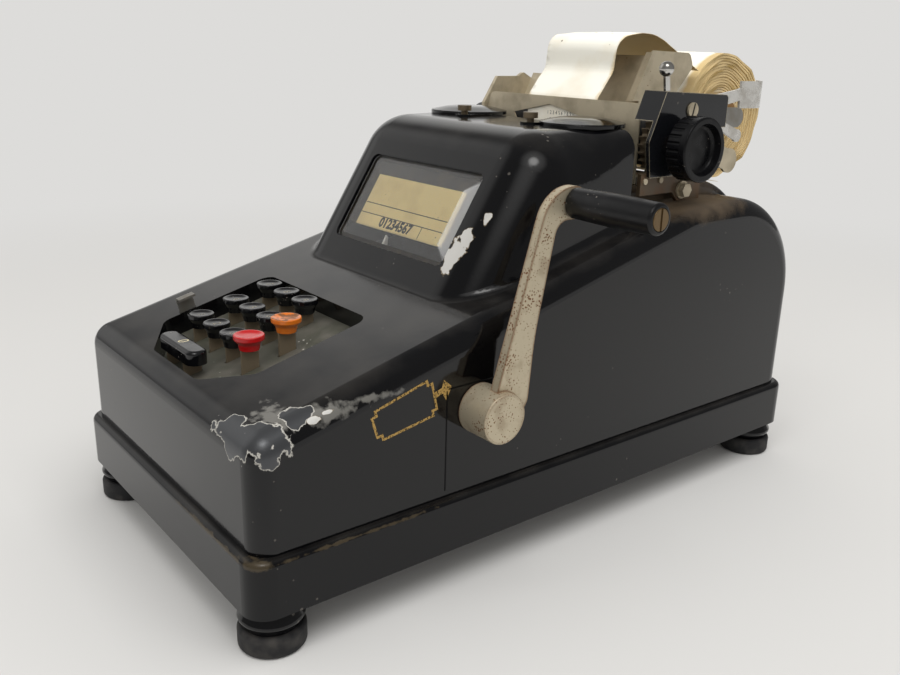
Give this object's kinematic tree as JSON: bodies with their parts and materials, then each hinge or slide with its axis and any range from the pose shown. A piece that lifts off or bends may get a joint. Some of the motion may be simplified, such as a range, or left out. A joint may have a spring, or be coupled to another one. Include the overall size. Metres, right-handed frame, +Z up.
{
  "type": "mechanical adding machine",
  "caption": "Crank-driven ten-key adding machine: enamelled sheet case with a hooded glass window, round-cap keyboard, side crank and a printing carriage with a paper roll",
  "frame": {"origin": "on the desk, under the middle of the machine's overall box", "axes": "+X to the crank side, +Y from the keyboard back to the paper roll, +Z up"},
  "size_m": [0.2616, 0.4165, 0.2568],
  "materials": {
    "black_enamel": "gloss",
    "nickel": "satin",
    "steel": "satin",
    "chrome": "polished",
    "brass": "satin",
    "rubber": "matte",
    "key_black": "gloss",
    "key_red": "gloss",
    "key_orange": "gloss",
    "grip_black": "gloss",
    "plate_green": "satin",
    "glass": "gloss",
    "card": "matte",
    "paper": "matte"
  },
  "bodies": {
    "machine": {"base_frame": "black_enamel", "bottom_plate": "black_enamel", "carriage_bars": "steel", "carriage_bracket": "black_enamel", "carriage_fastenings": "steel", "case_shell": "black_enamel", "cover_screws": "nickel", "crank_bushes": "brass", "crank_side_panel": "black_enamel", "end_plate_left": "nickel", "end_plate_right": "black_enamel", "foot_cups": "black_enamel", "foot_pads": "rubber", "frame_rods": "steel", "inner_frames": "steel", "keyboard_plate": "plate_green", "paper_guide": "nickel", "paper_strip": "paper", "paper_table": "nickel", "ribbon_shield": "nickel", "roll_arms": "steel", "spool_bracket": "steel", "spool_covers": "black_enamel", "type_guide": "steel", "window_card": "card", "window_glass": "glass", "window_retainer": "steel"},
    "crank": {"crank_shaft": "steel", "drive_gear": "steel", "crank_arm": "nickel", "grip_pin": "brass"},
    "grip": {"crank_grip": "grip_black"},
    "counter": {"counting_wheels": "steel"},
    "type": {"type_bars": "steel"},
    "slider": {"stop_slider": "steel"},
    "spool_left": {"ribbon_spool_left": "black_enamel"},
    "spool_right": {"ribbon_spool_right": "black_enamel"},
    "platen": {"platen_roller": "rubber", "platen_shaft": "steel", "ratchet_wheel": "steel", "platen_knob_right": "grip_black", "platen_knob_left": "grip_black"},
    "roll": {"paper_roll": "paper"},
    "ball": {"ball_lever": "chrome"},
    "release": {"release_lever": "nickel"},
    "thin": {"thin_lever": "nickel"},
    "broad": {"broad_lever": "nickel"},
    "tab": {"tab_key": "nickel"},
    "key_0_body": {"key_0": "key_black"},
    "key_1_body": {"key_1": "key_black"},
    "key_2_body": {"key_2": "key_black"},
    "key_3_body": {"key_3": "key_black"},
    "key_4_body": {"key_4": "key_black"},
    "key_5_body": {"key_5": "key_black"},
    "key_6_body": {"key_6": "key_black"},
    "key_7_body": {"key_7": "key_black"},
    "key_8_body": {"key_8": "key_black"},
    "key_9_body": {"key_9": "key_black"},
    "key_orange_body": {"key_orange": "key_orange"},
    "key_red_body": {"key_red": "key_red"}
  },
  "joints": [
    {"name": "crank_pull", "type": "hinge", "parent": "machine", "child": "crank", "pos_m": [-0.0298, -0.08975, 0.0885], "axis": [1, 0, 0], "range_deg": [0, 80], "stiffness_Nm_per_rad": 0.8, "springref_deg": -17.19},
    {"name": "grip_spin", "type": "hinge", "parent": "crank", "child": "grip", "pos_m": [0.1002, -0.05025, 0.182], "axis": [1, 0, 0], "continuous": true},
    {"name": "counter_turn", "type": "hinge", "parent": "machine", "child": "counter", "pos_m": [-0.0298, -0.05282, 0.09635], "axis": [1, 0, 0], "range_deg": [-240, 0]},
    {"name": "type_rise", "type": "slide", "parent": "machine", "child": "type", "axis": [0, 0, 1], "range_m": [0, 0.012]},
    {"name": "slider_travel", "type": "slide", "parent": "machine", "child": "slider", "axis": [1, 0, 0], "range_m": [-0.03, 0.04]},
    {"name": "spool_left_turn", "type": "hinge", "parent": "machine", "child": "spool_left", "pos_m": [-0.0773, 0.01875, 0.2], "axis": [0, 0, 1], "continuous": true},
    {"name": "spool_right_turn", "type": "hinge", "parent": "machine", "child": "spool_right", "pos_m": [0.0177, 0.01875, 0.2], "axis": [0, 0, 1], "continuous": true},
    {"name": "platen_turn", "type": "hinge", "parent": "machine", "child": "platen", "pos_m": [-0.0298, 0.05925, 0.198], "axis": [1, 0, 0], "continuous": true},
    {"name": "roll_turn", "type": "hinge", "parent": "machine", "child": "roll", "pos_m": [-0.0298, 0.16825, 0.207], "axis": [1, 0, 0], "continuous": true},
    {"name": "ball_lever_turn", "type": "hinge", "parent": "machine", "child": "ball", "pos_m": [0.0402, 0.05625, 0.2135], "axis": [1, 0, 0], "range_deg": [-15, 8]},
    {"name": "release_lever_turn", "type": "hinge", "parent": "machine", "child": "release", "pos_m": [0.0402, 0.09125, 0.22], "axis": [1, 0, 0], "range_deg": [-6, 12]},
    {"name": "thin_lever_turn", "type": "hinge", "parent": "machine", "child": "thin", "pos_m": [0.0402, 0.09425, 0.211], "axis": [1, 0, 0], "range_deg": [-3, 10]},
    {"name": "broad_lever_turn", "type": "hinge", "parent": "machine", "child": "broad", "pos_m": [0.0402, 0.07525, 0.201], "axis": [1, 0, 0], "range_deg": [-10, 2]},
    {"name": "tab_press", "type": "slide", "parent": "machine", "child": "tab", "axis": [0, 0.2561, -0.9666], "range_m": [0, 0.004], "stiffness_N_per_m": 150, "springref_m": -0.004},
    {"name": "key_0_press", "type": "slide", "parent": "machine", "child": "key_0_body", "axis": [0, 0, -1], "range_m": [0, 0.0045], "stiffness_N_per_m": 150, "springref_m": -0.004},
    {"name": "key_1_press", "type": "slide", "parent": "machine", "child": "key_1_body", "axis": [0, 0, -1], "range_m": [0, 0.0045], "stiffness_N_per_m": 150, "springref_m": -0.004},
    {"name": "key_2_press", "type": "slide", "parent": "machine", "child": "key_2_body", "axis": [0, 0, -1], "range_m": [0, 0.0045], "stiffness_N_per_m": 150, "springref_m": -0.004},
    {"name": "key_3_press", "type": "slide", "parent": "machine", "child": "key_3_body", "axis": [0, 0, -1], "range_m": [0, 0.0045], "stiffness_N_per_m": 150, "springref_m": -0.004},
    {"name": "key_4_press", "type": "slide", "parent": "machine", "child": "key_4_body", "axis": [0, 0, -1], "range_m": [0, 0.0045], "stiffness_N_per_m": 150, "springref_m": -0.004},
    {"name": "key_5_press", "type": "slide", "parent": "machine", "child": "key_5_body", "axis": [0, 0, -1], "range_m": [0, 0.0045], "stiffness_N_per_m": 150, "springref_m": -0.004},
    {"name": "key_6_press", "type": "slide", "parent": "machine", "child": "key_6_body", "axis": [0, 0, -1], "range_m": [0, 0.0045], "stiffness_N_per_m": 150, "springref_m": -0.004},
    {"name": "key_7_press", "type": "slide", "parent": "machine", "child": "key_7_body", "axis": [0, 0, -1], "range_m": [0, 0.0045], "stiffness_N_per_m": 150, "springref_m": -0.004},
    {"name": "key_8_press", "type": "slide", "parent": "machine", "child": "key_8_body", "axis": [0, 0, -1], "range_m": [0, 0.0045], "stiffness_N_per_m": 150, "springref_m": -0.004},
    {"name": "key_9_press", "type": "slide", "parent": "machine", "child": "key_9_body", "axis": [0, 0, -1], "range_m": [0, 0.0045], "stiffness_N_per_m": 150, "springref_m": -0.004},
    {"name": "key_orange_press", "type": "slide", "parent": "machine", "child": "key_orange_body", "axis": [0, 0, -1], "range_m": [0, 0.0045], "stiffness_N_per_m": 150, "springref_m": -0.004},
    {"name": "key_red_press", "type": "slide", "parent": "machine", "child": "key_red_body", "axis": [0, 0, -1], "range_m": [0, 0.0045], "stiffness_N_per_m": 150, "springref_m": -0.004}
  ],
  "couplings": [
    {"joint": "counter_turn", "follows": "crank_pull", "ratio": -3},
    {"joint": "type_rise", "follows": "crank_pull", "m_per_rad": 0.0085944}
  ]
}
